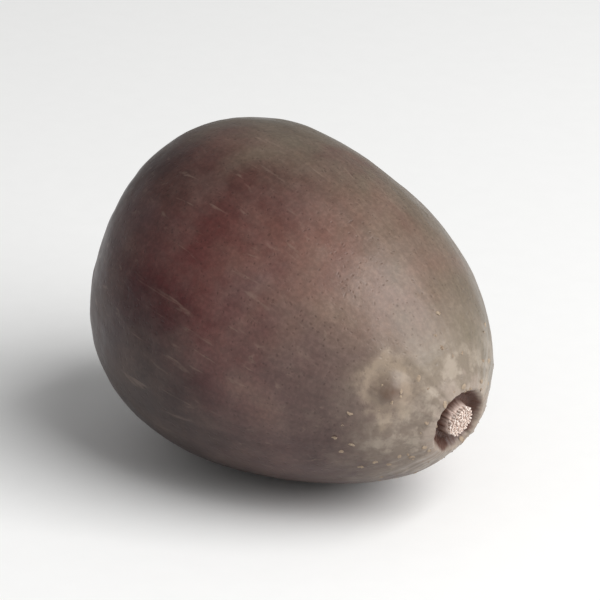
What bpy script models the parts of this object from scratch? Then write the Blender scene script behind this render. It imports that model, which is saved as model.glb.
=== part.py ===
"""A dried lotus seed in its hard shell, lying on its side with its tip towards +X.

The shell is one piece: an egg-shaped nut with the stump of the style in a round moat at its
tip, a small knob beside that, and a sunken round scar at its base, where it sat on its stalk.
"""

import math

import bmesh
import bpy
from mathutils import Matrix, Vector

MM = 0.001

# The shell's own sizes, before the relief at its tip and base.
LENGTH = 16.1 * MM
WIDTH = 13.0 * MM
HEIGHT = 12.8 * MM

# The outline is (1 - t^2)^fullness, with t from -1 at the base to 1 at the tip. A fullness of 0.5
# is an ellipse, and less is a blunter end. The taper narrows it evenly towards the tip, and the
# nip narrows the last part of the tip once more.
FULLNESS = 0.43
FULLNESS_TO_TIP = -0.01
TAPER = 0.185
TIP_NIP = 0.04
TIP_NIP_FROM = 0.3

# The tip stands a little to one side of the middle, and above it.
TIP_LEAN = 0.55 * MM
TIP_RISE = 0.60 * MM

# Broad, shallow flats where the shell was pressed by its pod: the way that each one faces, as
# shares of the length, width and height, how deep it is, and how far it spreads as an angle.
PRESSED_FLATS = (
    ((0.30, -0.75, 0.60), 0.20 * MM, math.radians(34)),
    ((-0.35, -0.20, 0.92), 0.10 * MM, math.radians(28)),
    ((-0.10, 0.95, 0.30), 0.20 * MM, math.radians(34)),
    ((-0.16, 0.60, 0.78), 0.34 * MM, math.radians(30)),
    ((-0.77, -0.63, 0.09), 0.36 * MM, math.radians(30)),
    ((0.42, -0.32, -0.85), 0.32 * MM, math.radians(32)),
    ((0.05, 0.55, -0.83), 0.12 * MM, math.radians(28)),
)

# Relief at the tip, as distance from the axis and height above the plain outline: the stump of
# the style, the moat round it and the low rim outside the moat.
TIP_RELIEF = (
    (0.00 * MM, 0.04 * MM),
    (0.54 * MM, -0.01 * MM),
    (0.76 * MM, -0.40 * MM),
    (0.92 * MM, -0.38 * MM),
    (1.28 * MM, 0.14 * MM),
    (2.25 * MM, 0.00 * MM),
)

# Relief at the base: the cut ends of the stalk's strands, the sunken scar and its rim.
BASE_RELIEF = (
    (0.00 * MM, -0.10 * MM),
    (0.38 * MM, -0.12 * MM),
    (0.58 * MM, -0.28 * MM),
    (0.88 * MM, -0.26 * MM),
    (1.25 * MM, 0.08 * MM),
    (2.00 * MM, 0.00 * MM),
)

# The small knob beside the style, with a shallow groove round it.
KNOB_FROM_AXIS = 3.00 * MM
KNOB_ROUND = math.radians(150)
KNOB_RADIUS = 0.42 * MM
KNOB_HEIGHT = 0.14 * MM
KNOB_GROOVE = 0.06 * MM
GROOVE_RADIUS = 1.9 * KNOB_RADIUS
GROOVE_WIDTH = 0.6 * KNOB_RADIUS

# An egg comes to rest with its lean end down. The flat spot is worn where it touches.
TIP_DOWN = math.radians(14.0)
FLAT_SPOT_DEPTH = 0.15 * MM

# The shell is divided into strips from base to tip, and into rings that lie closer at both ends.
STRIPS = 72
END_SPACING = 0.14 * MM
MIDDLE_SPACING = 0.50 * MM
END_REACH = 2.7 * MM
OUTLINE_STEPS = 6000

SHELL_COLOUR = (0.185, 0.125, 0.105, 1.0)
SHELL_ROUGHNESS = 0.5


def clear_scene():
    for other in list(bpy.data.objects):
        bpy.data.objects.remove(other)


def eased(share):
    share = max(0.0, min(1.0, share))
    return share * share * (3 - 2 * share)


def outline(t):
    """Half-width of the shell at t, before it is scaled to the width."""
    round_form = max(1 - t * t, 0.0) ** (FULLNESS + FULLNESS_TO_TIP * t)
    nip = TIP_NIP * eased((t - TIP_NIP_FROM) / (1 - TIP_NIP_FROM))
    return round_form * (1 - TAPER * t) * (1 - nip)


def plain_outline():
    """Closely set points (along, out) of the plain outline, from base to tip."""
    shares = [-math.cos(math.pi * step / OUTLINE_STEPS) for step in range(OUTLINE_STEPS + 1)]
    halves = [outline(t) for t in shares]
    scale = WIDTH / 2 / max(halves)
    return [Vector((LENGTH / 2 * t, scale * half)) for t, half in zip(shares, halves)]


def ring_spacing(out):
    """How far the next ring is, at a distance from the axis."""
    middle = eased((out - END_REACH) / END_REACH)
    return END_SPACING + (MIDDLE_SPACING - END_SPACING) * middle


def ring_points(points):
    """The points of the outline that become rings, each one a ring's spacing on from the last."""
    chosen = [0]
    for number, point in enumerate(points):
        if (point - points[chosen[-1]]).length >= ring_spacing(point.y):
            chosen.append(number)
    chosen[-1] = len(points) - 1
    return chosen


def along(profile, distance):
    """Height of a relief profile at a distance, eased between its points."""
    for (near, low), (far, high) in zip(profile, profile[1:]):
        if distance < far:
            return low + (high - low) * eased((distance - near) / (far - near))
    return profile[-1][1]


def meridian():
    """The shell's half section from base to tip, with the relief at both ends."""
    points = plain_outline()
    section = []
    for number in ring_points(points):
        here = points[number]
        if number in (0, OUTLINE_STEPS):
            outward = Vector((math.copysign(1.0, here.x), 0.0))
        else:
            run = points[number + 1] - points[number - 1]
            outward = Vector((-run.y, run.x)).normalized()
        profile = TIP_RELIEF if here.x > 0 else BASE_RELIEF
        section.append(here + outward * along(profile, here.y))
    return section


def knob_place(section):
    """The middle of the knob, on the tip's half of the section."""
    near = min(
        (point for point in section if point.x > 0),
        key=lambda point: abs(point.y - KNOB_FROM_AXIS),
    )
    return Vector((near.x, near.y * math.cos(KNOB_ROUND), near.y * math.sin(KNOB_ROUND)))


def pressed(point):
    """How far the pressed flats take the shell in at a point."""
    facing = Vector((point.x / LENGTH, point.y / WIDTH, point.z / WIDTH)).normalized()
    depth = 0.0
    for way, deepest, spread in PRESSED_FLATS:
        depth += deepest * math.exp(-((facing.angle(Vector(way)) / spread) ** 2))
    return depth


def knob_relief(point, knob):
    distance = (point - knob).length
    bump = KNOB_HEIGHT * math.exp(-((distance / KNOB_RADIUS) ** 2))
    groove = KNOB_GROOVE * math.exp(-(((distance - GROOVE_RADIUS) / GROOVE_WIDTH) ** 2))
    return bump - groove


def spun_shell(section):
    """The half section turned once round the X axis, closed at both ends."""
    mesh = bmesh.new()
    verts = [mesh.verts.new((point.x, max(point.y, 0.0), 0.0)) for point in section]
    edges = [mesh.edges.new(pair) for pair in zip(verts, verts[1:])]
    bmesh.ops.spin(
        mesh,
        geom=verts + edges,
        cent=(0, 0, 0),
        axis=(1, 0, 0),
        angle=2 * math.pi,
        steps=STRIPS,
    )
    bmesh.ops.remove_doubles(mesh, verts=mesh.verts, dist=MM / 1000)
    bmesh.ops.recalc_face_normals(mesh, faces=mesh.faces)
    return mesh


def shape_shell(mesh, knob):
    """Adds the pressed flats, the knob, the shell's height and the tip's lean and rise."""
    mesh.normal_update()
    moved = [(v, v.normal * (knob_relief(v.co, knob) - pressed(v.co))) for v in mesh.verts]
    for vertex, step in moved:
        vertex.co += step
        vertex.co.z *= HEIGHT / WIDTH
        share = (1 + 2 * vertex.co.x / LENGTH) / 2
        vertex.co.y -= TIP_LEAN * share * share
        vertex.co.z += TIP_RISE * share * share


def set_down(mesh):
    """Tips the shell to its resting pose, cuts the flat spot and stands it on the origin."""
    bmesh.ops.rotate(mesh, verts=mesh.verts, matrix=Matrix.Rotation(TIP_DOWN, 3, "Y"))
    spot = min(v.co.z for v in mesh.verts) + FLAT_SPOT_DEPTH
    bmesh.ops.bisect_plane(
        mesh,
        geom=mesh.verts[:] + mesh.edges[:] + mesh.faces[:],
        dist=MM / 10000,
        plane_co=(0, 0, spot),
        plane_no=(0, 0, -1),
        clear_outer=True,
    )
    bmesh.ops.edgeloop_fill(mesh, edges=[e for e in mesh.edges if e.is_boundary])
    ends = [[reach(v.co[axis] for v in mesh.verts) for reach in (min, max)] for axis in (0, 1)]
    middle = [(low + high) / 2 for low, high in ends]
    bmesh.ops.translate(mesh, verts=mesh.verts, vec=(-middle[0], -middle[1], -spot))
    bmesh.ops.recalc_face_normals(mesh, faces=mesh.faces)


def shell_material():
    material = bpy.data.materials.new("seed_shell")
    material.use_nodes = True
    surface = material.node_tree.nodes["Principled BSDF"]
    surface.inputs["Base Color"].default_value = SHELL_COLOUR
    surface.inputs["Roughness"].default_value = SHELL_ROUGHNESS
    surface.inputs["Metallic"].default_value = 0.0
    return material


def lotus_seed():
    section = meridian()
    shaped = spun_shell(section)
    shape_shell(shaped, knob_place(section))
    set_down(shaped)
    mesh = bpy.data.meshes.new("lotus_seed")
    shaped.to_mesh(mesh)
    shaped.free()
    mesh.shade_smooth()
    mesh.materials.append(shell_material())
    seed = bpy.data.objects.new("lotus_seed", mesh)
    bpy.context.scene.collection.objects.link(seed)


clear_scene()
lotus_seed()
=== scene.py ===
import math

import bpy
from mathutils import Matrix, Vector


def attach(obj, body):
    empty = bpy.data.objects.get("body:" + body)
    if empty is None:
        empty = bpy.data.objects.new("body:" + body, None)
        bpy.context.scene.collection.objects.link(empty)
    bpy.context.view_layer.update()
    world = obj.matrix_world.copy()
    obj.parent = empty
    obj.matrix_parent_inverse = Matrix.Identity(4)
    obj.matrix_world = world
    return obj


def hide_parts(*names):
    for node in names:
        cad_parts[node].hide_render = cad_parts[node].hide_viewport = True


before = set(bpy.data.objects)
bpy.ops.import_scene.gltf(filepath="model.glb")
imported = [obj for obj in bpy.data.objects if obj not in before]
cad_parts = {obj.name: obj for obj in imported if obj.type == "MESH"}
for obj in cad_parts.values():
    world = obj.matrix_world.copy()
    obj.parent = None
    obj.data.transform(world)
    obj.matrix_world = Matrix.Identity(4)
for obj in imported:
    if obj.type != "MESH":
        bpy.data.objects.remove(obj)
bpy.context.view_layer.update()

# The shell. The hard, dry wall of the nut, grown in one piece round its kernel. It is egg-shaped,
# blunt at the base and lean at the tip, and it carries the moat round its style, a small knob
# beside that, the sunken scar at its base, and the flats and wrinkles left by its pod and drying.
MM = 0.001
LENGTH = 16.1 * MM
WIDTH = 13.0 * MM
HEIGHT = 12.8 * MM

# The tip stands a little to one side of the middle and above it. The shell then lies tipped, with
# its lean end down, and is set down with its flat spot on the ground and its middle over the origin.
TIP_LEAN = 0.55 * MM
TIP_RISE = 0.60 * MM
TIP_DOWN = math.radians(14.0)
SET_DOWN = Vector((-0.072, 0.130, 5.659)) * MM


def add(tree, kind, inputs=(), **settings):
    """Adds a node, sets what it is set to, and fills its sockets with values or links."""
    node = tree.nodes.new(kind)
    for name, value in settings.items():
        setattr(node, name, value)
    for key, value in inputs.items() if isinstance(inputs, dict) else enumerate(inputs):
        if isinstance(value, bpy.types.Node):
            value = next(socket for socket in value.outputs if socket.enabled)
        if isinstance(value, bpy.types.NodeSocket):
            tree.links.new(value, node.inputs[key])
        elif value is not None:
            node.inputs[key].default_value = value
    return node


def new_tree(name, sizes):
    """An empty Geometry Nodes tree with a named input for each size, and its input's sockets."""
    tree = bpy.data.node_groups.new(name, "GeometryNodeTree")
    tree.interface.new_socket(name="Geometry", in_out="OUTPUT", socket_type="NodeSocketGeometry")
    for label, value in sizes.items():
        kind = "NodeSocketInt" if isinstance(value, int) else "NodeSocketFloat"
        tree.interface.new_socket(name=label, in_out="INPUT", socket_type=kind)
    return tree, tree.nodes.new("NodeGroupInput").outputs


# Every piece is made on the straight shell, whose axis is X. This step gives it the shell's
# height, leans it aside and up towards the tip, tips it down and sets it on the ground.
lay_down, straight = new_tree("lay_down", {})
lay_down.interface.new_socket(name="Geometry", in_out="INPUT", socket_type="NodeSocketGeometry")
point = add(lay_down, "GeometryNodeInputPosition")
low_form = add(lay_down, "ShaderNodeVectorMath", (point, (1.0, 1.0, HEIGHT / WIDTH)), operation="MULTIPLY")
point_x = add(lay_down, "ShaderNodeSeparateXYZ", (point,))
to_tip = add(lay_down, "ShaderNodeMath", (point_x.outputs["X"], 1 / LENGTH, 0.5), operation="MULTIPLY_ADD")
bend = add(lay_down, "ShaderNodeMath", (to_tip, 2.0), operation="POWER")
bend_step = add(lay_down, "ShaderNodeVectorMath", {0: (0.0, -TIP_LEAN, TIP_RISE), 3: bend}, operation="SCALE")
bent = add(lay_down, "ShaderNodeVectorMath", (low_form, bend_step), operation="ADD")
tipped = add(lay_down, "ShaderNodeVectorRotate", {"Vector": bent, "Angle": TIP_DOWN}, rotation_type="Y_AXIS")
moved = add(lay_down, "ShaderNodeVectorMath", (tipped, SET_DOWN), operation="ADD")
lying = add(lay_down, "GeometryNodeSetPosition", {"Geometry": straight[0], "Position": moved})
add(lay_down, "NodeGroupOutput", (lying,))

# The outline is (1 - t^2)^fullness, with t from -1 at the base to 1 at the tip. A fullness of 0.5
# is an ellipse, and less is a blunter end.
shell_sizes = {
    "Length": LENGTH, "Width": WIDTH,
    "Fullness": 0.43, "Fullness to tip": -0.01, "Taper": 0.185, "Tip nip": 0.04, "Nip from": 0.3,
    "Lump height": 0.030 * MM, "Wrinkle height": 0.035 * MM, "Pit depth": 0.014 * MM,
    "Points along": 318, "Points round": 301,
}
shell, size = new_tree("shell_shape", shell_sizes)

# A sheet of points is wrapped round the axis. Its rows lie closer towards the base and the tip,
# where the relief is fine. A crowding of 0 would space them at even angles. With a row's angle,
# t is minus its cosine, and 1 - t^2 is the square of its sine.
ROW_CROWDING = 0.55
sheet = add(shell, "GeometryNodeMeshGrid", {
    "Size X": 1.0, "Size Y": 1.0, "Vertices X": size["Points along"], "Vertices Y": size["Points round"]})
sheet_place = add(shell, "ShaderNodeSeparateXYZ", (add(shell, "GeometryNodeInputPosition"),))
even = add(shell, "ShaderNodeMapRange", (sheet_place.outputs["X"], -0.5, 0.5, 0.0, math.pi))
twice = add(shell, "ShaderNodeMath", (even, 2.0), operation="MULTIPLY")
wave = add(shell, "ShaderNodeMath", (twice,), operation="SINE")
turn = add(shell, "ShaderNodeMath", (wave, -ROW_CROWDING / 2, even), operation="MULTIPLY_ADD")
cosine = add(shell, "ShaderNodeMath", (turn,), operation="COSINE")
along = add(shell, "ShaderNodeMath", (cosine, -1.0), operation="MULTIPLY")
sine = add(shell, "ShaderNodeMath", (turn,), operation="SINE")
positive = add(shell, "ShaderNodeMath", (sine, 0.0), operation="MAXIMUM")
square = add(shell, "ShaderNodeMath", (positive, positive), operation="MULTIPLY")

# The outline: a blunt ellipse, tapered along its length and nipped once more at the tip.
fullness = add(shell, "ShaderNodeMath", (along, size["Fullness to tip"], size["Fullness"]),
               operation="MULTIPLY_ADD")
round_form = add(shell, "ShaderNodeMath", (square, fullness), operation="POWER")
narrowing = add(shell, "ShaderNodeMath", (along, size["Taper"]), operation="MULTIPLY")
taper = add(shell, "ShaderNodeMath", (1.0, narrowing), operation="SUBTRACT")
tip_share = add(shell, "ShaderNodeMath", (1.0, size["Tip nip"]), operation="SUBTRACT")
nip = add(shell, "ShaderNodeMapRange", (along, size["Nip from"], 1.0, 1.0, tip_share),
          interpolation_type="SMOOTHSTEP")
tapered = add(shell, "ShaderNodeMath", (round_form, taper), operation="MULTIPLY")
half = add(shell, "ShaderNodeMath", (tapered, nip), operation="MULTIPLY")
widest = add(shell, "GeometryNodeAttributeStatistic", {"Geometry": sheet, "Attribute": half})
share_out = add(shell, "ShaderNodeMath", (half, widest.outputs["Max"]), operation="DIVIDE")
half_width = add(shell, "ShaderNodeMath", (size["Width"], 0.5), operation="MULTIPLY")
out = add(shell, "ShaderNodeMath", (share_out, half_width), operation="MULTIPLY")
half_length = add(shell, "ShaderNodeMath", (size["Length"], 0.5), operation="MULTIPLY")
wrapped_parts = [add(shell, "ShaderNodeMath", (along, half_length), operation="MULTIPLY")]
round_angle = add(shell, "ShaderNodeMapRange", (sheet_place.outputs["Y"], -0.5, 0.5, math.tau, 0.0))
for side_wave in ("COSINE", "SINE"):
    sideways = add(shell, "ShaderNodeMath", (round_angle,), operation=side_wave)
    wrapped_parts.append(add(shell, "ShaderNodeMath", (out, sideways), operation="MULTIPLY"))
wrapped = add(shell, "ShaderNodeCombineXYZ", wrapped_parts)
plain = add(shell, "GeometryNodeSetPosition", {"Geometry": sheet, "Position": wrapped})
closed = add(shell, "GeometryNodeMergeByDistance", {"Geometry": plain, "Distance": MM / 10000})

# Relief at the tip, as distance from the axis and height above the plain outline: the stump of
# the style, the moat round it and the low rim outside the moat.
TIP_RELIEF = (
    (0.00 * MM, 0.04 * MM),
    (0.54 * MM, -0.01 * MM),
    (0.76 * MM, -0.40 * MM),
    (0.92 * MM, -0.38 * MM),
    (1.28 * MM, 0.14 * MM),
    (2.25 * MM, 0.00 * MM),
)

# Relief at the base: the middle of the scar, the scar's sunken floor and its rim.
BASE_RELIEF = (
    (0.00 * MM, -0.10 * MM),
    (0.38 * MM, -0.12 * MM),
    (0.58 * MM, -0.28 * MM),
    (0.88 * MM, -0.26 * MM),
    (1.25 * MM, 0.08 * MM),
    (2.00 * MM, 0.00 * MM),
)

# Each round edge wanders in and out a little, as a grown one does.
EDGE_WANDER = 0.10 * MM
EDGE_BENDS_APART = MM / 1.1


def relief_height(tree, profile, distance):
    """Nodes that give a relief profile's height at a distance, eased between its points."""
    height = profile[0][1]
    for (near, low), (far, high) in zip(profile, profile[1:]):
        rise = add(tree, "ShaderNodeMapRange", (distance, near, far, 0.0, high - low),
                   interpolation_type="SMOOTHSTEP")
        height = add(tree, "ShaderNodeMath", (height, rise), operation="ADD")
    return height


here = add(shell, "GeometryNodeInputPosition")
facing_out = add(shell, "GeometryNodeInputNormal")
across_axis = add(shell, "ShaderNodeVectorMath", (here, (0.0, 1.0, 1.0)), operation="MULTIPLY")
from_axis = add(shell, "ShaderNodeVectorMath", (across_axis,), operation="LENGTH")
edge_noise = add(shell, "ShaderNodeTexNoise",
                 {"Vector": here, "Scale": 1 / EDGE_BENDS_APART, "Detail": 3.0})
wander = add(shell, "ShaderNodeMapRange", (edge_noise, 0.2, 0.8, -EDGE_WANDER, EDGE_WANDER))
wandered = add(shell, "ShaderNodeMath", (from_axis, wander), operation="ADD")
from_mid = add(shell, "ShaderNodeMath", (wandered, 0.0), operation="MAXIMUM")
here_parts = add(shell, "ShaderNodeSeparateXYZ", (here,))
at_tip = add(shell, "ShaderNodeMath", (here_parts.outputs["X"], 0.0), operation="GREATER_THAN")
end_relief = add(shell, "ShaderNodeMix", {
    0: at_tip, 2: relief_height(shell, BASE_RELIEF, from_mid), 3: relief_height(shell, TIP_RELIEF, from_mid)})
end_step = add(shell, "ShaderNodeVectorMath", {0: facing_out, 3: end_relief}, operation="SCALE")
ended = add(shell, "GeometryNodeSetPosition", {"Geometry": closed, "Offset": end_step})

# Broad, shallow flats where the shell was pressed by its pod: the way that each one faces, in
# shares of the length and the width, how deep it is, and how far it spreads as an angle.
PRESSED_FLATS = (
    ((0.30, -0.75, 0.60), 0.20 * MM, math.radians(34)),
    ((-0.35, -0.20, 0.92), 0.10 * MM, math.radians(28)),
    ((-0.10, 0.95, 0.30), 0.20 * MM, math.radians(34)),
    ((-0.16, 0.60, 0.78), 0.34 * MM, math.radians(30)),
    ((-0.77, -0.63, 0.09), 0.36 * MM, math.radians(30)),
    ((0.42, -0.32, -0.85), 0.32 * MM, math.radians(32)),
    ((0.05, 0.55, -0.83), 0.12 * MM, math.radians(28)),
)

# The small knob beside the style, with a shallow groove round it.
KNOB_AT = Vector((6.82, -2.64, 1.52)) * MM
KNOB_RADIUS = 0.42 * MM
KNOB_HEIGHT = 0.14 * MM
KNOB_GROOVE = 0.06 * MM
GROOVE_RADIUS = 1.9 * KNOB_RADIUS
GROOVE_WIDTH = 0.6 * KNOB_RADIUS


def hump(tree, distance, middle, reach):
    """Nodes that give a smooth hump, 1 at the middle and nearly 0 at twice its reach."""
    off = add(tree, "ShaderNodeMath", (distance, middle), operation="SUBTRACT")
    share = add(tree, "ShaderNodeMath", (off, reach), operation="DIVIDE")
    square = add(tree, "ShaderNodeMath", (share, share), operation="MULTIPLY")
    fall = add(tree, "ShaderNodeMath", (square, -1.0), operation="MULTIPLY")
    return add(tree, "ShaderNodeMath", (fall,), operation="EXPONENT")


shares = add(shell, "ShaderNodeVectorMath", (here, (LENGTH, WIDTH, WIDTH)), operation="DIVIDE")
facing = add(shell, "ShaderNodeVectorMath", (shares,), operation="NORMALIZE")
raised = 0.0
for way, deepest, spread in PRESSED_FLATS:
    dot = add(shell, "ShaderNodeVectorMath", (facing, Vector(way).normalized()), operation="DOT_PRODUCT")
    angle = add(shell, "ShaderNodeMath", (dot,), operation="ARCCOSINE")
    press = hump(shell, angle, 0.0, spread)
    raised = add(shell, "ShaderNodeMath", (press, -deepest, raised), operation="MULTIPLY_ADD")
from_knob = add(shell, "ShaderNodeVectorMath", (here, KNOB_AT), operation="DISTANCE")
for middle, reach, rise in ((0.0, KNOB_RADIUS, KNOB_HEIGHT), (GROOVE_RADIUS, GROOVE_WIDTH, -KNOB_GROOVE)):
    ring = hump(shell, from_knob, middle, reach)
    raised = add(shell, "ShaderNodeMath", (ring, rise, raised), operation="MULTIPLY_ADD")
press_step = add(shell, "ShaderNodeVectorMath", {0: facing_out, 3: raised}, operation="SCALE")
pressed = add(shell, "GeometryNodeSetPosition", {"Geometry": ended, "Offset": press_step})

# Drying leaves low lumps, wrinkles that run from end to end, and shallow pits. The wrinkles are
# at their full depth near both ends and shallow out to a share of it on the middle of the shell.
LUMPS_APART = 2.0 * MM
WRINKLES_APART = WIDTH / 9
WRINKLE_LENGTH = 6.25 * MM
WRINKLES_FULL_WITHIN = 1.2 * MM
WRINKLES_LOW_BEYOND = 4.5 * MM
WRINKLES_LOW_SHARE = 0.28
PITS_APART = 0.5 * MM
PIT_SHARE = 0.32
lump = add(shell, "ShaderNodeTexNoise", {"Vector": here, "Scale": 1 / LUMPS_APART, "Detail": 2.0})
lump_rise = add(shell, "ShaderNodeMapRange", (lump, 0.25, 0.75, -1.0, 1.0))
round_way = add(shell, "ShaderNodeVectorMath", (across_axis,), operation="NORMALIZE")
wrinkle_way = add(shell, "ShaderNodeVectorMath", {0: round_way, 3: WIDTH / 2 / WRINKLES_APART},
                  operation="SCALE")
slow_length = add(shell, "ShaderNodeVectorMath", (here, (1 / WRINKLE_LENGTH, 0.0, 0.0)), operation="MULTIPLY")
wrinkle_at = add(shell, "ShaderNodeVectorMath", (wrinkle_way, slow_length), operation="ADD")
wrinkle = add(shell, "ShaderNodeTexNoise", {"Vector": wrinkle_at, "Scale": 1.0, "Detail": 2.5})
wrinkle_rise = add(shell, "ShaderNodeMapRange", (wrinkle, 0.3, 0.7, -1.0, 1.0))
near_end = add(shell, "ShaderNodeMapRange",
               (from_axis, WRINKLES_FULL_WITHIN, WRINKLES_LOW_BEYOND, 1.0, WRINKLES_LOW_SHARE),
               interpolation_type="SMOOTHSTEP")
wrinkle_drop = add(shell, "ShaderNodeMath", (wrinkle_rise, near_end), operation="MULTIPLY")
pit = add(shell, "ShaderNodeTexVoronoi", {"Vector": here, "Scale": 1 / PITS_APART, "Randomness": 1.0})
pit_depth = add(shell, "ShaderNodeMapRange", (pit, 0.0, PIT_SHARE, -1.0, 0.0),
                interpolation_type="SMOOTHSTEP")
grain = add(shell, "ShaderNodeMath", (lump_rise, size["Lump height"]), operation="MULTIPLY")
grain = add(shell, "ShaderNodeMath", (wrinkle_drop, size["Wrinkle height"], grain),
            operation="MULTIPLY_ADD")
grain = add(shell, "ShaderNodeMath", (pit_depth, size["Pit depth"], grain), operation="MULTIPLY_ADD")
grain_step = add(shell, "ShaderNodeVectorMath", {0: facing_out, 3: grain}, operation="SCALE")
grained = add(shell, "GeometryNodeSetPosition", {"Geometry": pressed, "Offset": grain_step})

# Every point keeps its place on the straight shell, which the shell's colours follow.
marked = add(shell, "GeometryNodeStoreNamedAttribute",
             {"Geometry": grained, "Name": "shell_place", "Value": here}, data_type="FLOAT_VECTOR")

# Points that would lie below the ground are held at it, which makes the flat spot. The other two
# limits are a metre away, so they hold nothing.
GROUND_LIMITS = (-1.0, -1.0, 0.0)
laid = add(shell, "GeometryNodeGroup", {"Geometry": marked}, node_tree=lay_down)
level = add(shell, "ShaderNodeVectorMath", (here, GROUND_LIMITS), operation="MAXIMUM")
stood = add(shell, "GeometryNodeSetPosition", {"Geometry": laid, "Position": level})
smooth = add(shell, "GeometryNodeSetShadeSmooth", {"Geometry": stood})


def linear(code):
    """An sRGB hex colour as linear red, green, blue and alpha."""
    parts = [int(code[i:i + 2], 16) / 255 for i in (1, 3, 5)]
    return [p / 12.92 if p <= 0.04045 else ((p + 0.055) / 1.055) ** 2.4 for p in parts] + [1.0]


# Dried seed shell: a hard, finely pitted wall, purple-brown and redder at the base, under a thin
# grey bloom of wax that is rubbed off in places, with painted shade on its base end, its underside
# and in the moat at its tip. It gives a soft, broad, satin highlight. Its patterns follow the place
# on the straight shell, and their sizes here are in millimetres.
seed_shell = bpy.data.materials.new("dried_seed_shell")
seed_shell.use_nodes = True
coat = seed_shell.node_tree
surface = coat.nodes["Principled BSDF"]
place = add(coat, "ShaderNodeAttribute", attribute_name="shell_place")
place_mm = add(coat, "ShaderNodeVectorMath", {0: place.outputs["Vector"], 3: 1 / MM}, operation="SCALE")
along_mm = add(coat, "ShaderNodeSeparateXYZ", (place_mm,))
across_mm = add(coat, "ShaderNodeVectorMath", (place_mm, (0.0, 1.0, 1.0)), operation="MULTIPLY")
axis_mm = add(coat, "ShaderNodeVectorMath", (across_mm,), operation="LENGTH")
side_way = add(coat, "ShaderNodeVectorMath", (across_mm,), operation="NORMALIZE")
tip_side = add(coat, "ShaderNodeMath", (along_mm.outputs["X"], 0.0), operation="GREATER_THAN")
base_side = add(coat, "ShaderNodeMath", (1.0, tip_side), operation="SUBTRACT")

# Colour along the seed, from base to tip, with its borders blurred by slow noise. Its darkest stops
# at the base are partly the seed's red-brown and partly painted shade.
BODY_AND_SHADE_COLOURS = (
    (0.00, "#2E1816"), (0.20, "#452825"), (0.42, "#63403A"), (0.62, "#7B584E"),
    (0.82, "#876F62"), (1.00, "#887A6A"),
)
BODY_REACH = 8.0
BODY_BLUR = 3.0
BODY_PATCHES_APART = 4.55
slow = add(coat, "ShaderNodeTexNoise",
           {"Vector": place_mm, "Scale": 1 / BODY_PATCHES_APART, "Detail": 4.0, "Roughness": 0.6})
slow_shift = add(coat, "ShaderNodeMapRange", (slow, 0.25, 0.75, -BODY_BLUR, BODY_BLUR))
shifted = add(coat, "ShaderNodeMath", (along_mm.outputs["X"], slow_shift), operation="ADD")
body_share = add(coat, "ShaderNodeMapRange", (shifted, -BODY_REACH, BODY_REACH, 0.0, 1.0))
body = add(coat, "ShaderNodeValToRGB", (body_share,))
for order, (at, code) in enumerate(BODY_AND_SHADE_COLOURS):
    stops = body.color_ramp.elements
    stop = stops[order] if order < 2 else stops.new(at)
    stop.position = at
    stop.color = linear(code)

# Olive on the side that ripened last and plum on the other, mottled where they meet, and a dark
# painted shade on the underside: each colour, the way its side faces, where it begins and is full,
# and how strong it gets.
SIDE_TINTS_AND_SHADE = (
    ("#6F6857", (0.0, 0.85, 0.53), 0.0, 0.95, 0.76),
    ("#5F484A", (0.0, -0.96, -0.28), 0.30, 1.05, 0.62),
    # A dark painted shade on the underside.
    ("#3D2627", (0.0, -0.40, -0.92), 0.05, 0.95, 0.82),
)
MOTTLES_APART = 3.33
MOTTLE_SHIFT = 0.40
mottle = add(coat, "ShaderNodeTexNoise",
             {"Vector": place_mm, "Scale": 1 / MOTTLES_APART, "Detail": 5.0, "Distortion": 0.6})
mottle_shift = add(coat, "ShaderNodeMapRange", (mottle, 0.28, 0.72, -MOTTLE_SHIFT, MOTTLE_SHIFT))
tinted_and_shaded = body
for code, way, begins, full, strength in SIDE_TINTS_AND_SHADE:
    side = add(coat, "ShaderNodeVectorMath", (side_way, way), operation="DOT_PRODUCT")
    mottled = add(coat, "ShaderNodeMath", (side, mottle_shift), operation="ADD")
    tint_and_shade = add(coat, "ShaderNodeMapRange", (mottled, begins, full, 0.0, strength),
               interpolation_type="SMOOTHSTEP")
    tinted_and_shaded = add(coat, "ShaderNodeMix", {0: tint_and_shade, 6: tinted_and_shaded, 7: linear(code)}, data_type="RGBA")

# Flushes on one cheek: red-brown where the wax is thinnest and plum beside it, and dark brown below
# them as painted shade on the lower cheek towards the base. The plum is partly painted shade too.
# Each is full up to 1 mm from its middle and gone at its reach.
FLUSHES_AND_SHADE = (
    ("#662B2B", (-0.6, -5.9, 1.5), 4.8, 0.66),
    # Plum, partly the seed's colour and partly painted shade.
    ("#38151C", (-2.6, -5.7, -0.5), 5.0, 0.74),
    # Painted shade: dark brown on the lower cheek towards the base.
    ("#26130F", (-1.4, -5.4, -3.0), 5.6, 0.84),
)
FLUSH_FULL = 1.0
FLUSH_WANDER = 1.6
flush_edge = add(coat, "ShaderNodeMapRange", (slow, 0.25, 0.75, -FLUSH_WANDER, FLUSH_WANDER))
flushed_and_shaded = tinted_and_shaded
for code, flush_at, reach, strength in FLUSHES_AND_SHADE:
    from_flush = add(coat, "ShaderNodeVectorMath", (place_mm, flush_at), operation="DISTANCE")
    flush_rough = add(coat, "ShaderNodeMath", (from_flush, flush_edge), operation="ADD")
    flush_and_shade = add(coat, "ShaderNodeMapRange", (flush_rough, FLUSH_FULL, reach, strength, 0.0),
                interpolation_type="SMOOTHSTEP")
    flushed_and_shaded = add(coat, "ShaderNodeMix", {0: flush_and_shade, 6: flushed_and_shaded, 7: linear(code)}, data_type="RGBA")

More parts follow.
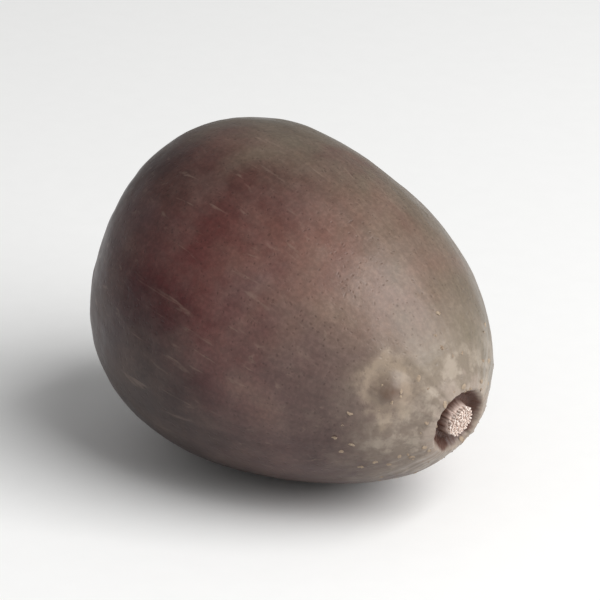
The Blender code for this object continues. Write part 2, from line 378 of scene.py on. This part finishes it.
# Faint fibres in the wall, which run from end to end and lie about 0.3 mm apart.
WALL_FIBRES_APART = WIDTH / MM / 44
WALL_FIBRE_LENGTH = 2.86
WALL_FIBRE_TONES = (0.90, 1.10)
fibre_way = add(coat, "ShaderNodeVectorMath", {0: side_way, 3: WIDTH / MM / 2 / WALL_FIBRES_APART},
                operation="SCALE")
fibre_slow = add(coat, "ShaderNodeVectorMath", (place_mm, (1 / WALL_FIBRE_LENGTH, 0.0, 0.0)),
                 operation="MULTIPLY")
fibre_at = add(coat, "ShaderNodeVectorMath", (fibre_way, fibre_slow), operation="ADD")
fibre = add(coat, "ShaderNodeTexNoise", {"Vector": fibre_at, "Scale": 1.0, "Detail": 3.0})
fibre_share = add(coat, "ShaderNodeMapRange", (fibre, 0.30, 0.70, *WALL_FIBRE_TONES))
fibred = add(coat, "ShaderNodeVectorMath", {0: flushed_and_shaded, 3: fibre_share}, operation="SCALE")

# Grey wax bloom, thin and patchy, with fine specks in it.
BLOOM_PATCHES_APART = 1.82
BLOOM_COLOUR = "#917E74"
BLOOM_THICKNESS = (0.02, 0.26)
SPECKS_APART = 0.143
SPECK_TONES = (0.71, 0.89)
bloom = add(coat, "ShaderNodeTexNoise",
            {"Vector": place_mm, "Scale": 1 / BLOOM_PATCHES_APART, "Detail": 7.0, "Roughness": 0.66})
bloom_share = add(coat, "ShaderNodeMapRange", (bloom, 0.40, 0.70, *BLOOM_THICKNESS))
bloomed = add(coat, "ShaderNodeMix", {0: bloom_share, 6: fibred, 7: linear(BLOOM_COLOUR)}, data_type="RGBA")
speck = add(coat, "ShaderNodeTexNoise", {"Vector": place_mm, "Scale": 1 / SPECKS_APART, "Detail": 2.0})
speck_share = add(coat, "ShaderNodeMapRange", (speck, 0.40, 0.72, *SPECK_TONES))
specked = add(coat, "ShaderNodeVectorMath", {0: bloomed, 3: speck_share}, operation="SCALE")

# Thin pale rub marks, which mostly run along the seed.
RUB_LENGTH = 2.22
RUB_WIDTH = 0.327
RUB_COLOUR = "#978375"
RUB_STRENGTH = 0.22
rub_at = add(coat, "ShaderNodeVectorMath", (place_mm, (1 / RUB_LENGTH, 1 / RUB_WIDTH, 1 / RUB_WIDTH)),
             operation="MULTIPLY")
rub = add(coat, "ShaderNodeTexNoise", {"Vector": rub_at, "Scale": 1.0, "Detail": 4.0, "Distortion": 0.8})
rub_share = add(coat, "ShaderNodeMapRange", (rub, 0.62, 0.72, 0.0, RUB_STRENGTH))
rubbed = add(coat, "ShaderNodeMix", {0: rub_share, 6: specked, 7: linear(RUB_COLOUR)}, data_type="RGBA")

# Dark pores about 0.07 mm across, whose even spacing is broken up by a slower noise.
PORES_APART = 0.227
PORE_DRIFT = 0.5
PORE_DRIFTS_APART = 0.77
PORE_COLOUR = "#2E1E19"
PORE_STRENGTH = 0.34
pore_drift = add(coat, "ShaderNodeTexNoise",
                {"Vector": place_mm, "Scale": 1 / PORE_DRIFTS_APART, "Detail": 2.0})
pore_step = add(coat, "ShaderNodeVectorMath", {0: pore_drift.outputs["Color"], 3: PORE_DRIFT},
                operation="SCALE")
pore_at = add(coat, "ShaderNodeVectorMath", (place_mm, pore_step), operation="ADD")
pore = add(coat, "ShaderNodeTexVoronoi", {"Vector": pore_at, "Scale": 1 / PORES_APART})
pore_share = add(coat, "ShaderNodeMapRange", (pore, 0.06, 0.26, PORE_STRENGTH, 0.0),
                 interpolation_type="SMOOTHSTEP")
painted = add(coat, "ShaderNodeMix", {0: pore_share, 6: rubbed, 7: linear(PORE_COLOUR)}, data_type="RGBA")

# The tan zone round the tip, cream patches in it, the dark moat, which is partly the moat's own
# brown and partly painted shade in its hollow, and the stump's pale top: each colour, the distance
# up to which it is full, where it ends, how strong it gets, the distance from the axis that it goes
# by, plain or with a wandering edge, and the share of it that shows.
RING_BENDS_APART = 1.11
FINE_EDGE_SHIFT = 0.14
CREAM_PATCHES_APART = 0.667
edge = add(coat, "ShaderNodeTexNoise",
           {"Vector": place_mm, "Scale": 1 / RING_BENDS_APART, "Detail": 5.0, "Roughness": 0.65})
edge_shift = add(coat, "ShaderNodeMapRange", (edge, 0.25, 0.75, -1.0, 1.0))
rough_edge = add(coat, "ShaderNodeMath", (axis_mm, edge_shift), operation="ADD")
fine_edge = add(coat, "ShaderNodeMath", (edge_shift, FINE_EDGE_SHIFT, axis_mm), operation="MULTIPLY_ADD")
patch = add(coat, "ShaderNodeTexNoise",
            {"Vector": place_mm, "Scale": 1 / CREAM_PATCHES_APART, "Detail": 4.0, "Roughness": 0.6})
patch_share = add(coat, "ShaderNodeMapRange", (patch, 0.47, 0.60, 0.0, 1.0))
TIP_RINGS = (
    ("#84786B", 1.80, 4.60, 0.68, rough_edge, 1.0),
    ("#A5998B", 1.50, 3.60, 0.70, rough_edge, patch_share),
    ("#9A8C81", 1.25, 1.90, 0.62, rough_edge, 1.0),
    # The moat's brown, darkened as painted shade in the hollow.
    ("#54382F", 1.07, 1.25, 0.94, fine_edge, 1.0),
    ("#D2BDB2", 0.50, 0.66, 0.92, axis_mm, 1.0),
)
for code, full, end, strength, distance, amount in TIP_RINGS:
    ring = add(coat, "ShaderNodeMapRange", (distance, full, end, strength, 0.0),
               interpolation_type="SMOOTHSTEP")
    ring_here = add(coat, "ShaderNodeMath", (ring, tip_side), operation="MULTIPLY")
    ring_part = add(coat, "ShaderNodeMath", (ring_here, amount), operation="MULTIPLY")
    painted = add(coat, "ShaderNodeMix", {0: ring_part, 6: painted, 7: linear(code)}, data_type="RGBA")

# The knob: a broken cream border, and a brown top. Each has its colour, its distance from the
# knob's middle, its width and its strength.
KNOB_EDGE_SHIFT = 0.55
KNOB_RINGS = (
    ("#AD9B86", 0.85, 0.28, 0.36),
    ("#60483A", 0.00, 0.42, 0.70),
)
knob_mm = add(coat, "ShaderNodeVectorMath", (place_mm, KNOB_AT / MM), operation="DISTANCE")
knob_edge = add(coat, "ShaderNodeMath", (edge_shift, KNOB_EDGE_SHIFT, knob_mm), operation="MULTIPLY_ADD")
for code, middle, reach, strength in KNOB_RINGS:
    ring = add(coat, "ShaderNodeMath", (hump(coat, knob_edge, middle, reach), strength),
               operation="MULTIPLY")
    painted = add(coat, "ShaderNodeMix", {0: ring, 6: painted, 7: linear(code)}, data_type="RGBA")

# The scar at the base: cream on its rim and brown in its floor.
SCAR_RINGS = (
    ("#B4A493", 1.25, 1.90, 0.78),
    ("#543F30", 0.95, 1.15, 0.95),
)
for code, full, end, strength in SCAR_RINGS:
    ring = add(coat, "ShaderNodeMapRange", (fine_edge, full, end, strength, 0.0),
               interpolation_type="SMOOTHSTEP")
    ring_here = add(coat, "ShaderNodeMath", (ring, base_side), operation="MULTIPLY")
    painted = add(coat, "ShaderNodeMix", {0: ring_here, 6: painted, 7: linear(code)}, data_type="RGBA")
coat.links.new(painted.outputs[2], surface.inputs["Base Color"])

# Satin where the wax is rubbed, duller under the bloom, with fine grain and pores in relief.
SATIN_ROUGHNESS = 0.30
DULL_ROUGHNESS = 0.48
SHELL_SHEEN = 0.29
GRIT_APART = 0.182
GRIT_HEIGHT = 0.03 * MM
PORE_DEPTH = 0.02 * MM
dull = add(coat, "ShaderNodeMapRange", (bloom, 0.35, 0.70, SATIN_ROUGHNESS, DULL_ROUGHNESS))
coat.links.new(dull.outputs[0], surface.inputs["Roughness"])
surface.inputs["Specular IOR Level"].default_value = SHELL_SHEEN
grit = add(coat, "ShaderNodeTexNoise",
           {"Vector": place_mm, "Scale": 1 / GRIT_APART, "Detail": 4.0, "Roughness": 0.6})
grit_bump = add(coat, "ShaderNodeBump", {"Strength": 0.30, "Distance": GRIT_HEIGHT, "Height": grit})
pore_rise = add(coat, "ShaderNodeMapRange", (pore, 0.04, 0.28, 0.0, 1.0))
pore_bump = add(coat, "ShaderNodeBump",
                {"Strength": 0.35, "Distance": PORE_DEPTH, "Height": pore_rise, "Normal": grit_bump})
coat.links.new(pore_bump.outputs[0], surface.inputs["Normal"])


def finish_tree(tree, geometry, material):
    """Ends a tree: copies made real, the material put on, and the result handed out."""
    real = add(tree, "GeometryNodeRealizeInstances", (geometry,))
    dressed = add(tree, "GeometryNodeSetMaterial", {"Geometry": real, "Material": material})
    add(tree, "NodeGroupOutput", (dressed,))


def grown(name, tree, sizes):
    """The piece that a tree makes from its sizes, as a plain mesh on an object at the origin."""
    piece = bpy.data.objects.new(name, bpy.data.meshes.new(name))
    bpy.context.scene.collection.objects.link(piece)
    maker = piece.modifiers.new("maker", "NODES")
    maker.node_group = tree
    for socket in tree.interface.items_tree:
        if socket.in_out == "INPUT":
            maker[socket.identifier] = sizes[socket.name]
    graph = bpy.context.evaluated_depsgraph_get()
    mesh = bpy.data.meshes.new_from_object(piece.evaluated_get(graph))
    piece.modifiers.clear()
    piece.data = mesh
    mesh.name = name
    return piece


finish_tree(shell, smooth, seed_shell)
shell_piece = grown("shell", shell, shell_sizes)
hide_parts("lotus_seed")
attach(shell_piece, "root")

# The style fibres. The stump at the tip is the dry end of the style: a bundle of stiff fibres
# that grow out of the shell and broke off just above its moat, each at its own height.
fibre_sizes = {
    "Fibres": 130, "Bundle radius": 0.51 * MM, "Root": 7.84 * MM, "Fibre length": 0.32 * MM,
    "Root radius": 0.050 * MM, "End radius": 0.034 * MM, "Uneven": 0.05 * MM, "Splay": 0.20,
    "Seed": 11,
}
FIBRE_SIDES = 7
FIBRE_TILT = 0.10
fibres, fibre_size = new_tree("style_bundle", fibre_sizes)
rod = add(fibres, "GeometryNodeMeshCone", {
    "Vertices": FIBRE_SIDES, "Radius Top": fibre_size["End radius"],
    "Radius Bottom": fibre_size["Root radius"], "Depth": fibre_size["Fibre length"]})

# The fibres stand as florets do in a flower head: each a golden angle on from the last, and out
# by the square root of its number, which packs the disc evenly.
GOLDEN_ANGLE = math.pi * (3 - math.sqrt(5))
fibre_number = add(fibres, "GeometryNodeInputIndex")
middle_number = add(fibres, "ShaderNodeMath", (fibre_number, 0.5), operation="ADD")
disc_share = add(fibres, "ShaderNodeMath", (middle_number, fibre_size["Fibres"]), operation="DIVIDE")
disc_root = add(fibres, "ShaderNodeMath", (disc_share,), operation="SQRT")
disc_angle = add(fibres, "ShaderNodeMath", (fibre_number, GOLDEN_ANGLE), operation="MULTIPLY")
disc_y = add(fibres, "ShaderNodeMath", (disc_angle,), operation="COSINE")
disc_z = add(fibres, "ShaderNodeMath", (disc_angle,), operation="SINE")
disc_way = add(fibres, "ShaderNodeCombineXYZ", (0.0, disc_y, disc_z))
disc_out = add(fibres, "ShaderNodeVectorMath", {0: disc_way, 3: disc_root}, operation="SCALE")
disc_step = add(fibres, "ShaderNodeVectorMath", {0: disc_out, 3: fibre_size["Bundle radius"]},
                operation="SCALE")
uneven = add(fibres, "FunctionNodeRandomValue", {2: -1.0, 3: 1.0, "Seed": fibre_size["Seed"]})
root_rise = add(fibres, "ShaderNodeMath", (uneven, fibre_size["Uneven"], fibre_size["Root"]),
                operation="MULTIPLY_ADD")
root_step = add(fibres, "ShaderNodeCombineXYZ", (root_rise, 0.0, 0.0))
root_at = add(fibres, "ShaderNodeVectorMath", (disc_step, root_step), operation="ADD")
roots = add(fibres, "GeometryNodePoints", {"Count": fibre_size["Fibres"], "Position": root_at})
splay = add(fibres, "ShaderNodeVectorMath", {0: disc_out, 3: fibre_size["Splay"]}, operation="SCALE")
tilt = add(fibres, "FunctionNodeRandomValue",
           {0: (1.0, -FIBRE_TILT, -FIBRE_TILT), 1: (1.0, FIBRE_TILT, FIBRE_TILT), "Seed": fibre_size["Seed"]},
           data_type="FLOAT_VECTOR")
fibre_lean = add(fibres, "ShaderNodeVectorMath", (splay, tilt), operation="ADD")
fibre_turn = add(fibres, "FunctionNodeAlignRotationToVector", {"Vector": fibre_lean}, axis="Z")
planted = add(fibres, "GeometryNodeInstanceOnPoints",
              {"Points": roots, "Instance": rod, "Rotation": fibre_turn})
bundle = add(fibres, "GeometryNodeRealizeInstances", (planted,))
bundle_laid = add(fibres, "GeometryNodeGroup", {"Geometry": bundle}, node_tree=lay_down)


def dry_plant_finish(name, shades, roughness, grain_apart, detail, spread, strength, height):
    """A dull plant material: two shades mixed by a fine grain, which also stands in low relief.

    The darker shade gives way to the paler one across the spread, round the middle of the grain.
    """
    material = bpy.data.materials.new(name)
    material.use_nodes = True
    tree = material.node_tree
    finish = tree.nodes["Principled BSDF"]
    grain_at = add(tree, "ShaderNodeTexCoord")
    grain = add(tree, "ShaderNodeTexNoise",
                {"Vector": grain_at.outputs["Object"], "Scale": 1 / grain_apart, "Detail": detail})
    share = add(tree, "ShaderNodeMapRange", (grain, 0.5 - spread, 0.5 + spread, 0.0, 1.0))
    colour = add(tree, "ShaderNodeMix", {0: share, 6: linear(shades[0]), 7: linear(shades[1])},
                 data_type="RGBA")
    relief = add(tree, "ShaderNodeBump", {"Strength": strength, "Distance": height, "Height": grain})
    tree.links.new(colour.outputs[2], finish.inputs["Base Color"])
    tree.links.new(relief.outputs[0], finish.inputs["Normal"])
    finish.inputs["Roughness"].default_value = roughness
    return material


# Dry style fibre: bleached plant fibre, straw to pinkish buff, patchy and dull.
style_fibre = dry_plant_finish("dry_style_fibre", ("#C2A99C", "#F0E6DE"), roughness=0.75,
                               grain_apart=0.111 * MM, detail=3.0, spread=0.20,
                               strength=0.5, height=0.01 * MM)
finish_tree(fibres, bundle_laid, style_fibre)
fibre_piece = grown("style_fibres", fibres, fibre_sizes)
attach(fibre_piece, "root")

# The strand ends. Where the nut came off its stalk, the broken ends of the stalk's strands stand
# in the scar: a ring of them in its floor and a small bunch on its middle. They are torn and dry.
strand_sizes = {
    "Ring strands": 11, "Ring radius": 0.70 * MM, "Ring place": -7.74 * MM,
    "Middle strands": 5, "Middle radius": 0.20 * MM, "Middle place": -7.93 * MM,
    "Strand radius": 0.105 * MM, "Torn edge": 0.05 * MM, "Seed": 3,
}
STRAND_SHIFT_ALONG = 0.04 * MM
STRAND_SHIFT_ASIDE = 0.07 * MM
SMALLEST_STRAND = (1.1, 0.75, 0.75)
LARGEST_STRAND = (1.7, 1.2, 1.2)
STRAND_TEARS_APART = MM / 9
strands, strand_size = new_tree("strand_ends", strand_sizes)
stub = add(strands, "GeometryNodeMeshIcoSphere", {"Radius": strand_size["Strand radius"],
           "Subdivisions": 3})
rows = []
for count, radius, at in (("Ring strands", "Ring radius", "Ring place"),
                          ("Middle strands", "Middle radius", "Middle place")):
    circle = add(strands, "GeometryNodeMeshCircle",
                 {"Vertices": strand_size[count], "Radius": strand_size[radius]})
    upright = add(strands, "GeometryNodeTransform",
                  {"Geometry": circle, "Rotation": (0.0, math.pi / 2, 0.0)})
    shift = add(strands, "ShaderNodeCombineXYZ", (strand_size[at], 0.0, 0.0))
    rows.append(add(strands, "GeometryNodeTransform", {"Geometry": upright, "Translation": shift}))
both = add(strands, "GeometryNodeJoinGeometry")
for row in rows:
    strands.links.new(row.outputs[0], both.inputs[0])
farthest_aside = Vector((STRAND_SHIFT_ALONG, STRAND_SHIFT_ASIDE, STRAND_SHIFT_ASIDE))
aside = add(strands, "FunctionNodeRandomValue",
            {0: -farthest_aside, 1: farthest_aside, "Seed": strand_size["Seed"]},
            data_type="FLOAT_VECTOR")
scattered = add(strands, "GeometryNodeSetPosition", {"Geometry": both, "Offset": aside})
strand_scale = add(strands, "FunctionNodeRandomValue",
                   {0: SMALLEST_STRAND, 1: LARGEST_STRAND, "Seed": strand_size["Seed"]},
                   data_type="FLOAT_VECTOR")
stood_up = add(strands, "GeometryNodeInstanceOnPoints",
               {"Points": scattered, "Instance": stub, "Scale": strand_scale})
stubs = add(strands, "GeometryNodeRealizeInstances", (stood_up,))


def torn(tree, geometry, tears_apart, deepest):
    """Nodes that tear the edges of small shapes, by moving their points as a fine noise says."""
    noise = add(tree, "ShaderNodeTexNoise",
                {"Vector": add(tree, "GeometryNodeInputPosition"), "Scale": 1 / tears_apart, "Detail": 2.0})
    way = add(tree, "ShaderNodeVectorMath", (noise.outputs["Color"], (0.5, 0.5, 0.5)), operation="SUBTRACT")
    reach = add(tree, "ShaderNodeMath", (deepest, 2.0), operation="MULTIPLY")
    step = add(tree, "ShaderNodeVectorMath", {0: way, 3: reach}, operation="SCALE")
    return add(tree, "GeometryNodeSetPosition", {"Geometry": geometry, "Offset": step})


stubs_torn = torn(strands, stubs, STRAND_TEARS_APART, strand_size["Torn edge"])
strands_laid = add(strands, "GeometryNodeGroup", {"Geometry": stubs_torn}, node_tree=lay_down)
strands_smooth = add(strands, "GeometryNodeSetShadeSmooth", {"Geometry": strands_laid})

# Torn stalk strand: dry plant fibre, brown with paler frayed patches, quite matt.
strand_fibre = dry_plant_finish("torn_stalk_strand", ("#5F4837", "#A08A72"), roughness=0.85,
                                grain_apart=0.125 * MM, detail=4.0, spread=0.18,
                                strength=0.5, height=0.02 * MM)
finish_tree(strands, strands_smooth, strand_fibre)
strand_piece = grown("strand_ends", strands, strand_sizes)
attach(strand_piece, "root")

# The scurf. Dry scales of the outer skin cling round the tip and the scar, where the bloom is
# thickest. Each is a thin, torn flake that lies on the shell and lifts a little at one side.
scurf_sizes = {
    "Flakes a square mm": 4.2, "Tip zone begins": 1.20 * MM, "Tip zone ends": 4.0 * MM,
    "Scar zone begins": 1.15 * MM, "Scar zone ends": 2.6 * MM, "Smallest": 0.04 * MM,
    "Largest": 0.13 * MM, "Torn edge": 0.06 * MM, "Seed": 7,
}
FLAKE_FORM = (1.0, 0.70, 0.12)
FLAKE_LIFT = 0.20
FLAKE_TEARS_APART = MM / 11
scurf, scurf_size = new_tree("scurf_scatter", scurf_sizes)
shell_source = add(scurf, "GeometryNodeObjectInfo", {"Object": shell_piece})
grown_place = add(scurf, "GeometryNodeInputNamedAttribute", {"Name": "shell_place"},
                  data_type="FLOAT_VECTOR")
place_parts = add(scurf, "ShaderNodeSeparateXYZ", (grown_place,))
place_across = add(scurf, "ShaderNodeVectorMath", (grown_place, (0.0, 1.0, 1.0)), operation="MULTIPLY")
place_out = add(scurf, "ShaderNodeVectorMath", (place_across,), operation="LENGTH")
density = 0.0
for begins, ends, comparison in (("Tip zone begins", "Tip zone ends", "GREATER_THAN"),
                                 ("Scar zone begins", "Scar zone ends", "LESS_THAN")):
    outside = add(scurf, "ShaderNodeMath", (place_out, scurf_size[begins]), operation="GREATER_THAN")
    fading = add(scurf, "ShaderNodeMapRange", (place_out, scurf_size[begins], scurf_size[ends], 1.0, 0.0))
    end_side = add(scurf, "ShaderNodeMath", (place_parts.outputs["X"], 0.0), operation=comparison)
    in_zone = add(scurf, "ShaderNodeMath", (outside, end_side), operation="MULTIPLY")
    density = add(scurf, "ShaderNodeMath", (in_zone, fading, density), operation="MULTIPLY_ADD")
square_metre = add(scurf, "ShaderNodeMath", (scurf_size["Flakes a square mm"], 1 / MM ** 2),
                   operation="MULTIPLY")
flake_density = add(scurf, "ShaderNodeMath", (density, square_metre), operation="MULTIPLY")
landed = add(scurf, "GeometryNodeDistributePointsOnFaces", {
    "Mesh": shell_source.outputs["Geometry"], "Density": flake_density, "Seed": scurf_size["Seed"]})
flake = add(scurf, "GeometryNodeMeshIcoSphere", {"Radius": 1.0, "Subdivisions": 2})
flake_turn = add(scurf, "FunctionNodeRandomValue",
                 {0: (-FLAKE_LIFT, -FLAKE_LIFT, 0.0), 1: (FLAKE_LIFT, FLAKE_LIFT, math.tau),
                  "Seed": scurf_size["Seed"]}, data_type="FLOAT_VECTOR")
flake_way = add(scurf, "FunctionNodeRotateRotation",
                {"Rotation": landed.outputs["Rotation"], "Rotate By": flake_turn}, rotation_space="LOCAL")
flake_size = add(scurf, "FunctionNodeRandomValue",
                 {2: scurf_size["Smallest"], 3: scurf_size["Largest"], "Seed": scurf_size["Seed"]})
flake_scale = add(scurf, "ShaderNodeVectorMath", {0: FLAKE_FORM, 3: flake_size}, operation="SCALE")
flakes_set = add(scurf, "GeometryNodeInstanceOnPoints", {
    "Points": landed, "Instance": flake, "Rotation": flake_way, "Scale": flake_scale})
flakes = add(scurf, "GeometryNodeRealizeInstances", (flakes_set,))
flakes_torn = torn(scurf, flakes, FLAKE_TEARS_APART, scurf_size["Torn edge"])

# Dry scurf: papery scales of dead skin, cream to tan, thin and chalky dull.
dry_scurf = dry_plant_finish("dry_scurf", ("#83705E", "#A59480"), roughness=0.85,
                             grain_apart=0.333 * MM, detail=4.0, spread=0.20,
                             strength=0.4, height=0.01 * MM)
finish_tree(scurf, flakes_torn, dry_scurf)
scurf_piece = grown("scurf_flakes", scurf, scurf_sizes)
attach(scurf_piece, "root")

# The floor. A plain sheet of pale, matt paper, wide enough to fill every view.
FLOOR_SIZE = 3.0
PAPER_SHADES = ("#F7F7F6", "#FAFAF9")
PAPER_GRAIN_APART = 1.11 * MM
PAPER_ROUGHNESS = 0.9
floor_mesh = bpy.data.meshes.new("floor")
floor_end = FLOOR_SIZE / 2
floor_corners = [(-floor_end, -floor_end, 0), (floor_end, -floor_end, 0), (floor_end, floor_end, 0),
                 (-floor_end, floor_end, 0)]
floor_mesh.from_pydata(floor_corners, [], [(0, 1, 2, 3)])
floor = bpy.data.objects.new("floor", floor_mesh)
bpy.context.scene.collection.objects.link(floor)
paper = bpy.data.materials.new("pale_paper")
paper.use_nodes = True
paper_tree = paper.node_tree
paper_surface = paper_tree.nodes["Principled BSDF"]
paper_at = add(paper_tree, "ShaderNodeTexCoord")
paper_grain = add(paper_tree, "ShaderNodeTexNoise",
                  {"Vector": paper_at.outputs["Object"], "Scale": 1 / PAPER_GRAIN_APART})
paper_tone = add(paper_tree, "ShaderNodeMix",
                 {0: paper_grain, 6: linear(PAPER_SHADES[0]), 7: linear(PAPER_SHADES[1])}, data_type="RGBA")
paper_tree.links.new(paper_tone.outputs[2], paper_surface.inputs["Base Color"])
paper_surface.inputs["Roughness"].default_value = PAPER_ROUGHNESS
floor_mesh.materials.append(paper)

# The light. One soft square panel above, to the right and in front, in an even white surround.
# The panel's place is given as the camera sees it, from these angles round the seed and above it.
AZIMUTH = math.radians(43.0)
ELEVATION = math.radians(23.0)
SURROUND_STRENGTH = 0.30
PANEL_RIGHT = 0.60
PANEL_NEAR = 0.40
PANEL_UP = 0.66
PANEL_DISTANCE = 0.25
PANEL_WIDTH = 0.22
PANEL_WATTS = 0.86
world = bpy.data.worlds.new("white_room")
world.use_nodes = True
surround = world.node_tree.nodes["Background"]
surround.inputs["Color"].default_value = (1.0, 1.0, 1.0, 1.0)
surround.inputs["Strength"].default_value = SURROUND_STRENGTH
bpy.context.scene.world = world

seed_middle = Vector((0.0, 0.0, HEIGHT / 2))
view_right = Vector((math.cos(AZIMUTH), math.sin(AZIMUTH), 0.0))
view_away = Vector((-math.sin(AZIMUTH), math.cos(AZIMUTH), 0.0))
up = Vector((0.0, 0.0, 1.0))


def aimed(name, data, way, distance):
    """An object that stands one way and distance from the seed's middle and points at it."""
    holder = bpy.data.objects.new(name, data)
    holder.location = seed_middle + way.normalized() * distance
    holder.rotation_euler = (seed_middle - holder.location).to_track_quat("-Z", "Y").to_euler()
    bpy.context.scene.collection.objects.link(holder)
    return holder


lamp = bpy.data.lights.new("key_panel", "AREA")
lamp.size = PANEL_WIDTH
lamp.energy = PANEL_WATTS
to_panel = view_right * PANEL_RIGHT - view_away * PANEL_NEAR + up * PANEL_UP
aimed("key_panel", lamp, to_panel, PANEL_DISTANCE)

# The camera. It looks down at the seed from the side of its tip, as in the photograph, through a
# long lens.
LENS_MM = 210.0
SENSOR_MM = 36.0
NEAREST_SEEN = 0.01
CAMERA_DISTANCE = 0.125
lens = bpy.data.cameras.new("camera")
lens.lens = LENS_MM
lens.sensor_width = SENSOR_MM
lens.clip_start = NEAREST_SEEN
to_camera = up * math.sin(ELEVATION) - view_away * math.cos(ELEVATION)
bpy.context.scene.camera = aimed("camera", lens, to_camera, CAMERA_DISTANCE)
bpy.context.scene.view_settings.view_transform = "Standard"
